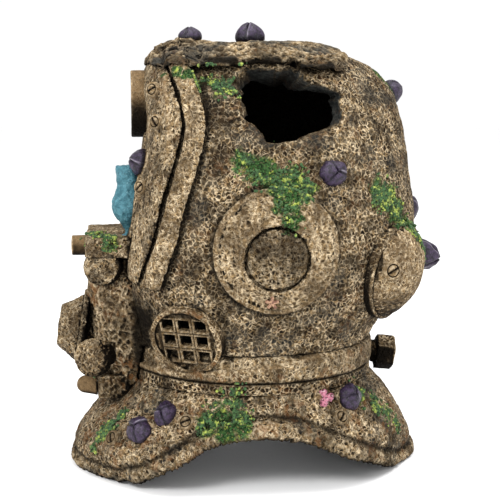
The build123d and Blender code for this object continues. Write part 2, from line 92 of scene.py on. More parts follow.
def noise(points, size, seed=1):
    """Smooth noise from -1 to 1 with lumps about one size apart."""
    grid = points / size
    base = np.floor(grid).astype(np.int64)
    part = grid - base
    part = part * part * (3 - 2 * part)
    total = np.zeros(len(points))
    for dx in (0, 1):
        for dy in (0, 1):
            for dz in (0, 1):
                weight = np.abs(1 - np.array([dx, dy, dz]) - part).prod(1)
                total += weight * hashed(base + np.array([dx, dy, dz]), seed)
    return total * 2 - 1


def fractal(points, size, seed=1, levels=3):
    """Noise with finer noise on top."""
    return sum(noise(points, size / 2 ** level, seed + level) / 2 ** level for level in range(levels))


def cell_edges(points, size, seed=1):
    """Distance from the nearest border between irregular cells, in cell widths."""
    grid = points / size
    base = np.floor(grid).astype(np.int64)
    near = np.full((len(points), 2), 9.0)
    for dx in (-1, 0, 1):
        for dy in (-1, 0, 1):
            for dz in (-1, 0, 1):
                cell = base + np.array([dx, dy, dz])
                spot = cell + np.stack([hashed(cell, seed + k) for k in range(3)], axis=1)
                gap = np.linalg.norm(spot - grid, axis=1)
                closer = gap < near[:, 0]
                near[:, 1] = np.where(closer, near[:, 0], np.minimum(near[:, 1], gap))
                near[:, 0] = np.where(closer, gap, near[:, 0])
    return near[:, 1] - near[:, 0]


def fade(values, low, high):
    """0 below low, 1 above high and smooth in between."""
    share = np.clip((values - low) / (high - low), 0, 1)
    return share * share * (3 - 2 * share)


def bell(values, middle, width):
    """1 at the middle, falling off smoothly on both sides."""
    return np.exp(-((values - middle) / width) ** 2)


# ---- meshes -------------------------------------------------------------------------------
MOST_TRIANGLES = 190000


def get_points(mesh):
    """Vertex places in millimetres, with the helmet's axis at x = y = 0."""
    flat = np.empty(len(mesh.vertices) * 3)
    mesh.vertices.foreach_get("co", flat)
    return flat.reshape(-1, 3) / MM - (0, AXIS_Y, 0)


def set_points(mesh, points):
    mesh.vertices.foreach_set("co", ((points + (0, AXIS_Y, 0)) * MM).ravel())
    mesh.update()


def get_normals(mesh):
    flat = np.empty(len(mesh.vertices) * 3)
    mesh.vertices.foreach_get("normal", flat)
    return flat.reshape(-1, 3)


def set_paint(mesh, name, values):
    """Store numbers on the vertices, for the materials to read."""
    layer = mesh.attributes.new(name, "FLOAT", "POINT")
    layer.data.foreach_set("value", np.full(len(mesh.vertices), values, np.float32))


def new_piece(name, mesh, node, slot):
    """A finished piece that stands for a CAD node and rides on its body."""
    piece = bpy.data.objects.new(name, mesh)
    bpy.context.scene.collection.objects.link(piece)
    mesh.materials.clear()
    mesh.materials.append(FINISHES[slot])
    mesh.polygons.foreach_set("use_smooth", [True] * len(mesh.polygons))
    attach(piece, BODY_OF[node])
    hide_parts(node)


def modified(mesh, modifiers):
    """A mesh as some modifiers leave it."""
    work = bpy.data.objects.new("working", mesh)
    bpy.context.scene.collection.objects.link(work)
    for kind, settings in modifiers.items():
        modifier = work.modifiers.new(kind, kind)
        for key, value in settings.items():
            setattr(modifier, key, value)
    result = bpy.data.meshes.new_from_object(work.evaluated_get(bpy.context.evaluated_depsgraph_get()))
    bpy.data.objects.remove(work)
    return result


def remeshed(node, voxel, soften):
    """One closed even skin over a CAD node, with its edges softened."""
    mesh = modified(NODES[node].data.copy(), {"REMESH": {"mode": "VOXEL", "voxel_size": voxel * MM},
                                              "SMOOTH": {"factor": 0.5, "iterations": soften}})
    triangles = 2 * len(mesh.polygons)
    if triangles > MOST_TRIANGLES:
        mesh = modified(mesh, {"DECIMATE": {"ratio": MOST_TRIANGLES / triangles}})
    return mesh


def ray_tree(names):
    """One search tree over the faces of some CAD nodes, in millimetres."""
    points, faces = [], []
    for name in names:
        mesh = NODES[name].data
        first = len(points)
        points.extend(Vector(p) for p in get_points(mesh))
        faces.extend([first + i for i in face.vertices] for face in mesh.polygons)
    return BVHTree.FromPolygons(points, faces)


GROWTHS = [name for name in NODES if any(word in name for word in ("barnacle", "moss", "coral", "starfish"))]
SOLID_TREE = ray_tree([name for name in NODES if name not in GROWTHS and "screws" not in name])
BARE_TREE = ray_tree([name for name in NODES if name not in (*GROWTHS, "crown_ridge", "upper_neck_ring")])
CROWN_GROUND = ray_tree(["bonnet_shell", "face_frame", "face_moulding"])


def convexity(mesh, points, normals):
    """How sharply the skin bulges (+) or sinks (-) at each vertex, per millimetre."""
    ends = np.empty(len(mesh.edges) * 2, np.int32)
    mesh.edges.foreach_get("vertices", ends)
    a, b = ends.reshape(-1, 2).T
    step = points[b] - points[a]
    bend = ((normals[b] - normals[a]) * step).sum(1) / np.maximum((step ** 2).sum(1), 1e-4)
    count = np.maximum(np.bincount(a, minlength=len(points)) + np.bincount(b, minlength=len(points)), 1)

    def spread(on_a, on_b):
        return (np.bincount(a, on_b, len(points)) + np.bincount(b, on_a, len(points))) / count

    curve = spread(bend, bend)
    return 0.5 * curve + 0.5 * spread(curve[a], curve[b])


# The rays that look for open space: their tilts from the normal and the turn from each to the next
FAN_TILTS = (0.25, 0.7, 0.75, 0.8, 1.1, 1.15, 1.2, 1.25)
GOLDEN_TURN = 2.4


def openness(points, normals, tree=SOLID_TREE, reach=9.0, block=1.6):
    """How much of the space in front of each point is open: 0 in a tight corner, 1 in the clear."""
    keys = np.round(points / block).astype(np.int64)
    _, place = np.unique(keys, axis=0, return_inverse=True)
    place = place.ravel()
    count = np.bincount(place).astype(float)
    middle = np.stack([np.bincount(place, points[:, k]) / count for k in range(3)], axis=1)
    facing = np.stack([np.bincount(place, normals[:, k]) for k in range(3)], axis=1)
    facing /= np.maximum(np.linalg.norm(facing, axis=1, keepdims=True), 1e-6)
    fan = [Vector((math.cos(GOLDEN_TURN * i) * math.sin(tilt), math.sin(GOLDEN_TURN * i) * math.sin(tilt),
                   math.cos(tilt))) for i, tilt in enumerate(FAN_TILTS)]
    clear = np.zeros(len(middle))
    for index, (spot, normal) in enumerate(zip(middle, facing)):
        start = Vector(spot) + Vector(normal) * 0.9
        turn = Vector(normal).to_track_quat("Z", "Y")
        for ray in fan:
            hit = tree.ray_cast(start, turn @ ray, reach)
            clear[index] += 1.0 if hit[3] is None else hit[3] / reach
    return (clear / len(fan))[place]


# ---- growth layout (millimetres, helmet axis at x = y = 0) -----------------------------------
# Each patch of moss is a few overlapping clumps: x, y, z and radius
MOSS = {
    "moss_brow": ((41, -21, 151, 3.6), (42.5, -16, 149.5, 4.2), (43.5, -11.5, 149.5, 3.8),
                  (44, -7.5, 149, 2.6)),
    "moss_side_port": ((51, -8, 121, 3.6), (52, -2, 118, 5), (53.5, 4, 114, 5.5), (53, 10, 115, 4.5),
                       (55, 12, 110, 4.5), (56, 7, 107, 5), (57, 8, 101, 4.2), (53, 15, 112, 3.2)),
    "moss_rear": ((42, 44, 108, 4.5), (38, 48, 107, 5), (35, 52, 101, 5), (31, 57.5, 95, 4.6),
                  (28, 62, 89, 4.2), (25, 64.5, 84, 3.4), (38, 42, 112, 3.6)),
    "moss_collar": ((29, -57, 28.5, 3.4), (29, -59, 24, 4.2), (28, -61, 19, 4.2), (27, -64, 13.5, 3.4),
                    (51, -12, 36, 4.5), (51, -16, 30, 5.5), (54, -9, 28, 5), (50, -21, 27, 4.6),
                    (54, -14, 25, 4), (37, 40, 34, 4.5), (33, 47, 30, 4.5), (30, 53, 24, 4.2),
                    (27, 57, 18, 3.4)),
    "moss_ledge": ((13, -60, 93, 4.5), (19, -57, 93, 4), (22, -55, 90, 3.5), (7, -61, 93, 3)),
    "far_moss": ((-52, 4, 128, 7), (-51, 14, 126, 6), (-50, -1, 131, 4.5), (-45, 40, 98, 5.5),
                 (-42, 44, 92, 4.5), (-50, 22, 124, 4)),
}
# Green stain with no tufts in it, on the crown and at the top of the face band
STAIN = ((12, 51, 153, 4.5), (8, 55, 148, 3.4), (-20, 46, 150, 5), (34, -37, 154, 3.0), (38, -31, 153.5, 3.4),
         (40, -26, 152, 3.4))


def moss_cover(points):
    """How green a place is, from 0 to 1."""
    cover = np.zeros(len(points))
    for group in (*MOSS.values(), STAIN):
        for x, y, z, radius in group:
            gap = np.linalg.norm(points - (x, y, z), axis=1)
            cover = np.maximum(cover, 1 - gap / (1.35 * radius))
    ragged = 0.30 * noise(points, 3.2, 51) + 0.22 * noise(points, 1.3, 52)
    return fade(cover + ragged * (cover > 0), 0.12, 0.42)


# ---- materials ----------------------------------------------------------------------------
class Paint:
    """Wires the nodes of one procedural material."""

    def __init__(self, name):
        self.material = bpy.data.materials.new(name)
        self.material.use_nodes = True
        self.tree = self.material.node_tree
        self.tree.nodes.clear()
        spot = self.add("TexCoord").outputs["Object"]
        self.place = self.add("VectorMath", {0: spot, "Scale": 1 / MM}, operation="SCALE").outputs[0]

    def add(self, kind, inputs=None, **settings):
        node = self.tree.nodes.new("ShaderNode" + kind)
        for key, value in settings.items():
            setattr(node, key, value)
        for key, value in (inputs or {}).items():
            if isinstance(value, bpy.types.NodeSocket):
                self.tree.links.new(value, node.inputs[key])
            else:
                node.inputs[key].default_value = value
        return node

    def math(self, operation, a, b=0.0):
        return self.add("Math", {0: a, 1: b}, operation=operation).outputs[0]

    def stored(self, name):
        return self.add("Attribute", attribute_name=name).outputs["Fac"]

    def noise(self, size, detail=2.0, place=None, rough=0.55):
        node = self.add("TexNoise", {"Vector": place or self.place, "Scale": 1 / size, "Detail": detail,
                                     "Roughness": rough})
        return node.outputs["Fac"]

    def ramp(self, value, low, high, start=0.0, end=1.0):
        """Smoothly from start at low to end at high."""
        node = self.add("MapRange", {"Value": value, "From Min": low, "From Max": high, "To Min": start,
                                     "To Max": end}, interpolation_type="SMOOTHSTEP")
        return node.outputs["Result"]

    def mix(self, share, a, b, blend="MIX"):
        full = [value if isinstance(value, bpy.types.NodeSocket) else (*value, 1.0) for value in (a, b)]
        node = self.add("Mix", {0: share, 6: full[0], 7: full[1]}, data_type="RGBA", blend_type=blend)
        return node.outputs[2]

    def wander(self, size, amount):
        """The place, pushed about by noise."""
        cloud = self.add("TexNoise", {"Vector": self.place, "Scale": 1 / size, "Detail": 2.0})
        half = (0.5, 0.5, 0.5)
        centred = self.add("VectorMath", {0: cloud.outputs["Color"], 1: half}, operation="SUBTRACT")
        push = self.add("VectorMath", {0: centred.outputs[0], "Scale": amount}, operation="SCALE")
        return self.add("VectorMath", {0: self.place, 1: push.outputs[0]}, operation="ADD").outputs[0]

    def net(self, place, size, thin, thick):
        """1 on the borders between irregular cells and 0 inside them."""
        cells = self.add("TexVoronoi", {"Vector": place, "Scale": 1 / size}, feature="DISTANCE_TO_EDGE")
        return self.ramp(cells.outputs["Distance"], thin, thick, 1.0, 0.0)

    def finish(self, colour, rough, height=None, depth=0.4, **shader):
        surface = self.add("BsdfPrincipled", {"Base Color": colour, "Roughness": rough, **shader})
        if height is not None:
            bump = self.add("Bump", {"Height": height, "Distance": depth * MM, "Strength": 1.0})
            self.tree.links.new(bump.outputs[0], surface.inputs["Normal"])
        output = self.add("OutputMaterial")
        self.tree.links.new(surface.outputs[0], output.inputs["Surface"])
        return self.material


GREEN_DARK, GREEN, GREEN_TIP = (0.010, 0.022, 0.008), (0.048, 0.118, 0.034), (0.34, 0.40, 0.075)
PITS = (0.004, 0.003, 0.002), (0.013, 0.0075, 0.0035)
SLATES = (0.022, 0.024, 0.024), (0.062, 0.064, 0.058)
GOLDS = (0.38, 0.257, 0.125), (0.80, 0.635, 0.415)
SCUFFED, BARE_TAN = (0.030, 0.0185, 0.0085), (0.19, 0.122, 0.060)
# The second colour here is the near black of painted shade.
RUST, PAINTED_SHADE_BLACK = (0.17, 0.070, 0.022), (0.005, 0.0037, 0.0023)


def bronze_paint():
    """Dark resin with gold dry-brushed over a fine raised network, green stain and near-black painted shade.
    """
    p = Paint("bronze_resin")
    fine = p.net(p.wander(2.2, 2.3), 1.65, 0.045, 0.205)
    broken = p.ramp(p.noise(1.2, 2.0), 0.30, 0.50, 0.15, 1.0)
    fine = p.math("MULTIPLY", p.math("MULTIPLY", fine, broken), p.stored("fine"))
    grain = p.ramp(p.noise(0.9, 2.0), 0.30, 0.60, 0.35, 1.0)
    lines = p.math("MAXIMUM", fine, p.math("MULTIPLY", p.stored("ridge"), grain))
    patches = p.ramp(p.noise(8.0, 3.0), 0.36, 0.58, 0.28, 1.0)
    gold = p.math("MULTIPLY", p.math("MULTIPLY", lines, patches), p.stored("gold"))
    pit = p.mix(p.ramp(p.noise(5.0, 3.0), 0.35, 0.65), *PITS)
    scuff = p.math("MULTIPLY", p.stored("gold"), p.ramp(p.noise(2.1, 3.0), 0.38, 0.70))
    field = p.mix(scuff, pit, SCUFFED)
    bare = p.math("MULTIPLY", p.stored("tan"), p.ramp(p.noise(1.6, 3.0), 0.28, 0.62, 0.55, 1.0))
    field = p.mix(bare, field, BARE_TAN)
    slate = p.mix(p.ramp(p.noise(2.0, 3.0), 0.35, 0.65), *SLATES)
    field = p.mix(p.stored("slate"), field, slate)
    bright = p.mix(p.ramp(p.noise(1.4, 2.0), 0.35, 0.65), *GOLDS)
    colour = p.mix(gold, field, bright)
    rust = p.math("MULTIPLY", p.stored("rust"), p.ramp(p.noise(2.4, 2.0), 0.46, 0.62))
    colour = p.mix(rust, colour, RUST)
    leaf = p.mix(p.ramp(p.noise(0.9, 3.0), 0.35, 0.62), GREEN_DARK, GREEN)
    leaf = p.mix(p.ramp(p.noise(2.6, 2.0, rough=0.7), 0.56, 0.70), leaf, GREEN_TIP)
    stain = p.math("MULTIPLY", p.stored("moss"), p.ramp(p.noise(0.8, 3.0), 0.26, 0.46))
    colour = p.mix(stain, colour, leaf)
    # Near-black painted shade in corners, creases and on faces turned down or inwards.
    colour = p.mix(p.stored("painted_shade"), colour, PAINTED_SHADE_BLACK)
    height = p.math("ADD", p.math("MULTIPLY", fine, 0.9), p.noise(0.7, 2.0))
    return p.finish(colour, 0.7, height, 0.8, **{"Specular IOR Level": 0.05})


def moss_paint():
    p = Paint("moss_flock")
    leaf = p.mix(p.ramp(p.noise(1.0, 3.0), 0.35, 0.60), GREEN_DARK, GREEN)
    leaf = p.mix(p.ramp(p.noise(2.8, 3.0, rough=0.7), 0.50, 0.66), leaf, GREEN_TIP)
    leaf = p.mix(p.ramp(p.noise(0.6, 2.0), 0.60, 0.75, 0.0, 0.6), leaf, (0.05, 0.035, 0.02))
    return p.finish(leaf, 0.9, p.noise(0.45, 3.0), 0.35)


def barnacle_paint():
    p = Paint("barnacle_paint")
    shade = p.mix(p.ramp(p.noise(1.3, 3.0), 0.35, 0.65), (0.007, 0.004, 0.010), (0.036, 0.021, 0.052))
    streaks = p.ramp(p.noise(0.55, 3.0, rough=0.7), 0.56, 0.70, 0.0, 0.45)
    shade = p.mix(streaks, shade, (0.15, 0.12, 0.17))
    shade = p.mix(p.stored("edge"), shade, (0.40, 0.36, 0.43))
    # Near-black painted shade in the grooves and round the foot.
    shade = p.mix(p.stored("painted_shade"), shade, (0.004, 0.003, 0.006))
    return p.finish(shade, 0.42, p.noise(0.6, 3.0), 0.25, **{"Specular IOR Level": 0.3})


def blue_coral_paint():
    p = Paint("blue_coral_paint")
    shade = p.mix(p.ramp(p.noise(2.0, 3.0), 0.35, 0.65), (0.018, 0.100, 0.130), (0.065, 0.200, 0.245))
    shade = p.mix(p.ramp(p.noise(0.8, 2.0), 0.58, 0.70), shade, (0.012, 0.06, 0.09))
    shade = p.mix(p.ramp(p.noise(1.3, 3.0, rough=0.7), 0.60, 0.74, 0.0, 0.6), shade, (0.24, 0.40, 0.44))
    return p.finish(shade, 0.7, p.noise(0.7, 3.0), 0.5)


def pink_coral_paint():
    p = Paint("pink_coral_paint")
    cells = p.net(p.wander(1.0, 0.6), 1.5, 0.10, 0.32)
    shade = p.mix(cells, (0.09, 0.012, 0.024), (0.42, 0.14, 0.20))
    shade = p.mix(p.ramp(p.noise(0.8, 2.0), 0.55, 0.68), shade, (0.58, 0.42, 0.45))
    return p.finish(shade, 0.6, cells, 0.5)


def starfish_paint():
    p = Paint("starfish_paint")
    shade = p.mix(p.ramp(p.noise(0.8, 2.0), 0.4, 0.6), (0.13, 0.05, 0.03), (0.36, 0.21, 0.12))
    return p.finish(shade, 0.6, p.noise(0.4, 2.0), 0.2)


def plain_paint(name, dark, light, rough, size, depth, clear=0.0):
    """A quiet moulded finish: two close tones and a slight grain."""
    p = Paint(name)
    shade = p.mix(p.ramp(p.noise(size, 3.0), 0.35, 0.65), dark, light)
    return p.finish(shade, rough, p.noise(size / 6, 2.0), depth, **{"Transmission Weight": clear})


FINISHES = {
    "bronze_resin": bronze_paint(),
    "moss_flock": moss_paint(),
    "barnacle_paint": barnacle_paint(),
    "blue_coral_paint": blue_coral_paint(),
    "pink_coral_paint": pink_coral_paint(),
    "starfish_paint": starfish_paint(),
}
# Dark tone, light tone, roughness, size and depth of the grain in millimetres, and clearness
PLAIN = {
    "dark_lens": ((0.006, 0.006, 0.007), (0.014, 0.013, 0.013), 0.25, 3.0, 0.05),
    "grommet_rubber": ((0.010, 0.010, 0.011), (0.020, 0.020, 0.021), 0.7, 2.0, 0.05),
    "silicone_airline": ((0.50, 0.53, 0.52), (0.62, 0.65, 0.64), 0.3, 6.0, 0.02, 0.4),
    "clear_nipple": ((0.62, 0.66, 0.66), (0.74, 0.78, 0.78), 0.2, 6.0, 0.02, 0.5),
    "air_stone_grit": ((0.10, 0.17, 0.24), (0.22, 0.32, 0.40), 0.95, 1.0, 0.6),
    "bracket_resin": ((0.012, 0.011, 0.010), (0.030, 0.026, 0.022), 0.7, 3.0, 0.1),
}
for slot, recipe in PLAIN.items():
    FINISHES[slot] = plain_paint(slot, *recipe)


# ---- cast resin pieces ----------------------------------------------------------------------
COLLAR_TOP = 30


def facing_out(points, normals):
    """1 where the surface faces away from the helmet's axis and -1 where it faces the axis."""
    rim = np.hypot(points[:, 0], points[:, 1])
    return (normals[:, 0] * points[:, 0] + normals[:, 1] * points[:, 1]) / np.maximum(rim, 1)


def paint_resin(mesh, gold=1.0, ridge=0.0, rust=0.0, fine=1.0, tan=0.0, slate=0.0, extra_painted_shade=None,
                inside=None, tree=SOLID_TREE):
    """Stored paint for the bronze finish: gold where a brush would reach, painted shade in the corners,
    creases and on faces turned down or inwards.
    """
    points, normals = get_points(mesh), get_normals(mesh)
    clear = openness(points, normals, tree)
    curve = convexity(mesh, points, normals)
    outward = facing_out(points, normals) + 0.6 * np.maximum(normals[:, 2], 0) * (points[:, 2] > COLLAR_TOP)
    reach = fade(outward, 0.05, 0.45) * fade(normals[:, 2], -0.95, -0.35)
    # Painted shade: dark where rays find little open space, in hollows, and on faces turned down or inwards;
    # extra masks add more.
    painted_shade = 1 - fade(clear + 0.10 * noise(points, 2.5, 31), 0.30, 0.72)
    painted_shade = np.maximum(0.92 * painted_shade, 0.55 * fade(-curve, 0.25, 0.9))
    painted_shade = np.clip(painted_shade + 0.97 * (1 - reach), 0, 1)
    if extra_painted_shade is not None:
        painted_shade = np.maximum(painted_shade, extra_painted_shade(points))
    bare = np.zeros(len(points)) if inside is None else inside(points) * (1 - fade(reach, 0.1, 0.6))
    painted_shade = painted_shade + (0.1 - painted_shade) * bare
    worn = 0.8 * fade(curve, 0.22, 0.85) * (0.75 + 0.25 * noise(points, 1.5, 34))
    bare_slate = slate * fade(fractal(points, 8, 39, 2), 0.18, 0.55)
    gold = gold * reach * (0.80 + 0.25 * noise(points, 9, 32)) * (1 - 0.8 * bare_slate)
    set_paint(mesh, "gold", np.clip(gold, 0, 1))
    set_paint(mesh, "slate", np.clip(bare_slate + bare, 0, 1))
    set_paint(mesh, "painted_shade", painted_shade)
    set_paint(mesh, "moss", moss_cover(points) * fade(reach, 0.1, 0.5))
    set_paint(mesh, "ridge", np.clip(np.maximum(ridge, worn), 0, 1))
    set_paint(mesh, "rust", rust * fade(clear, 0.3, 0.9) * fade(noise(points, 6, 33), -0.1, 0.5))
    set_paint(mesh, "fine", fine)
    set_paint(mesh, "tan", np.clip((tan(points) if callable(tan) else tan) * (1 - bare), 0, 1))


def cast(node, voxel, soften, lumps, pits=0.0, pit_size=2.6, ridge_paint=0.8, shape=None, bolder=None,
         **paint):
    """An uneven, soft-edged resin copy of a CAD node."""
    mesh = remeshed(node, voxel, soften)
    points, normals = get_points(mesh), get_normals(mesh)
    if shape is not None:
        points = shape(points, normals)
        set_points(mesh, points)
        normals = get_normals(mesh)
    rise = lumps * fractal(points, 7.0, 11)
    ridge = 0.0
    if pits:
        bold = 1.0 if bolder is None else 1 + bolder(points)
        warp = 0.9 * np.stack([noise(points, 2.2, seed) for seed in (21, 22, 23)], 1)
        ridge = 1 - fade(cell_edges(points + warp, pit_size, 24), 0.04, 0.34)
        rise = rise + pits * (ridge - 0.45) * bold
        ridge = ridge * ridge_paint * bold
    uneven = points + normals * rise[:, None]
    uneven[:, 2] = np.maximum(uneven[:, 2], 0)
    set_points(mesh, uneven)
    paint_resin(mesh, ridge=ridge, **paint)
    new_piece(node + "_cast", mesh, node, "bronze_resin")


# Cracks under the brow and beside the hole, as (y, z) runs on the near side
BROW_CRACKS = (((-22, 154), (-17, 156.6), (-10, 157)), ((-5, 155.6), (0, 156.2), (6, 156.8)),
               ((17, 153.6), (22, 153.8), (26, 155)))
HOLE_CRACK = ((-8.5, 136.5), (-10.6, 135.5), (-12.7, 134.5))


def line_gap(points, run):
    """Distance in the (y, z) plane from a run of straight pieces."""
    gap = np.full(len(points), 99.0)
    flat = points[:, 1:]
    for start, end in zip(run, run[1:]):
        start, along = np.array(start), np.array(end) - np.array(start)
        share = np.clip((flat - start) @ along / (along @ along), 0, 1)
        gap = np.minimum(gap, np.linalg.norm(flat - start - share[:, None] * along, axis=1))
    return gap


def melted_crown(points, normals):
    """Let the thick crown run out into the bonnet, apart from where it has cracked away."""
    foot, up = np.empty_like(points), np.empty_like(points)
    for index, point in enumerate(points):
        near, normal, _, _ = CROWN_GROUND.find_nearest(Vector(point))
        foot[index], up[index] = near, normal
    lift = ((points - foot) * up).sum(1)
    edge = points[np.abs(lift) < 0.7]
    tree = KDTree(len(edge))
    for index, point in enumerate(edge):
        tree.insert(point, index)
    tree.balance()
    far = np.array([tree.find(point)[2] for point in points])
    crack = np.max([bell(line_gap(points, run), 0, 3.2) for run in BROW_CRACKS], axis=0)
    crack = crack * (points[:, 0] > 0)
    share = np.maximum.reduce([fade(far, 0.5, 9.0), crack, fade(-points[:, 1], 20, 26) * fade(far, 0.2, 4.0)])
    lowered = foot + up * (np.maximum(lift * share, 0.12) + 1.8 * fade(far, 5, 16))[:, None]
    return np.where((lift > 0.25)[:, None], lowered, points)


def calmer_rim(points):
    """Shallower dents where the crown runs out."""
    return -0.75 * (1 - fade(points[:, 2], 154, 160))


def crown_cracks(points):
    # Painted shade in the cracks under the brow.
    near = points[:, 0] > 0
    gap = np.min([line_gap(points, run) for run in BROW_CRACKS], axis=0)
    return near * (1 - fade(gap + 0.5 * noise(points, 2.0, 35), 1.0, 2.2)) * 0.95


# The rear edge of the raised moulding, where painted shade darkens the bonnet
MOULDING_LINE = ((-20.8, 148), (-20.2, 141), (-20.2, 134), (-22, 125.2), (-24.6, 116.3), (-27.5, 107.4),
                 (-30.1, 96.7), (-33.8, 85.2), (-36.4, 76.8))
PORT_Y, PORT_Z, PORT_RADIUS = 3.5, 90.0, 22.5
CHIN_BACK = -43.5


def port_gap(points):
    """Distance outside the side port's rim, as seen from the side."""
    return np.hypot(points[:, 1] - PORT_Y, points[:, 2] - PORT_Z) - PORT_RADIUS


def chin_recess(points):
    """Painted shade in the recess between the chin and the grilles."""
    rows = fade(points[:, 2], 38, 44) * (1 - fade(points[:, 2], 64, 74))
    gap = points[:, 1] - CHIN_BACK + 1.2 * noise(points, 5, 40)
    return 0.95 * rows * (1 - fade(np.abs(gap), 2.2, 4.8))


def shell_painted_shade(points):
    """Painted shade in the crack by the hole, behind the moulding, by the chin and round the side ports."""
    crack = (points[:, 0] > 0) * (1 - fade(line_gap(points, HOLE_CRACK), 0.35, 0.9)) * 0.95
    behind = 0.85 * (1 - fade(line_gap(points, MOULDING_LINE), 0.8, 2.4))
    rim = port_gap(points) + 0.8 * noise(points, 3.0, 38)
    around = 0.8 * (1 - fade(rim, 0.3, 2.2)) * (np.abs(points[:, 0]) > 30)
    return np.maximum.reduce([crack, behind, around, chin_recess(points)])


def port_rim(points):
    """Bare tan worn on the outer edge of a side port."""
    return 0.6 * bell(port_gap(points), -1.0, 0.8)


# A thin raised line down the face band, which fades out below
FRAME_LINE = ((-34.1, 151.2), (-34.5, 146.3), (-33.6, 140.0), (-33.2, 134.0), (-33.6, 126.9), (-35, 119))
FRAME_LINE_FADE = 118, 128


def lined_frame(points, normals):
    share = fade(points[:, 2], *FRAME_LINE_FADE)
    return points + normals * (0.9 * share * bell(line_gap(points, FRAME_LINE), 0, 0.8))[:, None]


def frame_tan(points):
    return 0.05 + 0.9 * fade(points[:, 2], *FRAME_LINE_FADE) * bell(line_gap(points, FRAME_LINE), 0, 0.9)


# The broken hole's outline on the near side, as (y, z) corners, then its middle, the width of
# shell round it that leans, and the x beyond which the near side lies
HOLE = ((-12, 148), (-8, 153), (-5.5, 154.6), (4.5, 154.2), (12.5, 155.2), (14.5, 152.6), (19.5, 149),
        (24.5, 147), (30.5, 144.5), (28, 142.5), (29, 138.5), (28, 134.5), (23, 131.5), (17, 130.5),
        (12, 128.5), (4, 127), (0.5, 127.5), (-1, 131), (-3.5, 134), (-8, 136), (-7.5, 141.5), (-8.5, 144.5),
        (-12, 148))
HOLE_Y, HOLE_Z, HOLE_REACH, NEAR_SIDE = 9, 141, 7, 12
BONNET_MIDDLE = np.array((0.0, 5.0, 105.0))


def sheared_hole(points, normals):
    """Lean the hole's broken faces inwards, so that the wall's thickness shows."""
    near = np.flatnonzero((line_gap(points, HOLE) < HOLE_REACH) & (points[:, 0] > NEAR_SIDE))
    outside = near[((normals[near] * (points[near] - BONNET_MIDDLE)).sum(1) > 25)]
    tree = KDTree(len(outside))
    for index in outside:
        tree.insert(points[index], int(index))
    tree.balance()
    moved = points.copy()
    gap = line_gap(points[near], HOLE)
    for index, rim in zip(near, gap):
        _, twin, _ = tree.find(points[index])
        depth = -float((points[index] - points[twin]) @ normals[twin])
        if depth < 0.4:
            continue
        lean = np.array((points[index][1] - HOLE_Y, points[index][2] - HOLE_Z))
        lean = lean / max(np.linalg.norm(lean), 1)
        slope = 0.25 + 0.75 * max(lean[1], 0) + 0.35 * max(-lean[0], 0) * (lean[1] > -0.3)
        moved[index, 1:] -= lean * min(depth, 6.5) * slope * (1 - rim / HOLE_REACH)
    return moved


def hole_faces(points):
    """Bare charcoal on the broken faces."""
    return (points[:, 0] > NEAR_SIDE) * (1 - fade(line_gap(points, HOLE), 5.0, 7.5))


# The collar's arched lower edge on each side, as places along y and their heights
HEM_Y = (-53, -44, -30, -22, -12, 0, 10, 17, 24, 31, 38, 46, 56)
HEM_Z = (0, 4.5, 13.5, 19, 22, 23.2, 22.2, 20.2, 17, 13.6, 10.2, 5.8, 0)
HEM_GROOVE = 6.0


def hem_height(points):
    """Height above the collar's lower edge."""
    return points[:, 2] - np.interp(points[:, 1], HEM_Y, HEM_Z) * (np.abs(points[:, 0]) > 20)


def rolled_hem(points, normals):
    """A thick rolled lip along the collar's lower edge, with a groove above it."""
    up = hem_height(points)
    outside = fade(facing_out(points, normals), -0.1, 0.4)
    lip = 1.6 * bell(up, 2.0, 2.2) - 0.6 * bell(up, HEM_GROOVE, 1.0)
    moved = points + normals * (lip * outside)[:, None]
    moved[:, 2] -= 0.9 * bell(up, 0, 1.4) * (moved[:, 2] > 2)
    return moved


def hem_lip(points):
    return 0.9 * (1 - fade(hem_height(points), 4.0, 5.5))


def hem_groove(points):
    # Painted shade in the groove above the hem's lip.
    return 0.85 * bell(hem_height(points), HEM_GROOVE, 1.0)


# The near grille: its middle, which way it faces, a row's direction, and its square holes
GRILLE_CENTRE = np.array((43.0, -27.2, 56.8))
GRILLE_FACE = np.array((0.84, -0.42, -0.34))
GRILLE_ALONG = np.array((0.45, 0.89, 0.0))
GRILLE_PITCH, GRILLE_HOLE = 6.4, 4.2


def mirrored(points):
    """Factors that swap the far side's places for the near side's."""
    return np.where(points[:, :1] < 0, (-1, 1, 1), (1, 1, 1))


def grille_steps(points):
    """Distance outside the nearest square hole of the grille, and whether a place is on its face."""
    side = points * mirrored(points) - GRILLE_CENTRE
    face = GRILLE_FACE / np.linalg.norm(GRILLE_FACE)
    along = GRILLE_ALONG - face * (GRILLE_ALONG @ face)
    along = along / np.linalg.norm(along)
    across = np.cross(face, along)
    u, v = side @ along, side @ across
    cell = [np.abs(w - GRILLE_PITCH * np.clip(np.round(w / GRILLE_PITCH), -1, 1)) for w in (u, v)]
    return np.maximum(*cell) - GRILLE_HOLE / 2, fade(side @ face, 0.6, 1.2)


def lipped_grille(points, normals):
    """Raised lips round the holes with a groove between them."""
    gap, front = grille_steps(points)
    lip = 0.45 * bell(gap, 0.55, 0.35) - 0.4 * fade(gap, 0.85, 1.1) * (gap < 2.4)
    return points + GRILLE_FACE * (lip * front)[:, None] * mirrored(points)


def grille_groove(points):
    # Painted shade in the grooves between the lips round the grille's holes.
    gap, front = grille_steps(points)
    return 0.75 * front * fade(gap, 0.9, 1.1) * (gap < 2.2)


def collar_tan(points):
    """The forehead collar is tan towards the top and dark towards the bottom."""
    return fade(points[:, 2], 138, 147)


def collar_dark(points):
    # Darker towards the bottom of the forehead collar.
    return 0.95 * (1 - fade(points[:, 2] + 1.5 * noise(points, 4, 36), 133, 146))


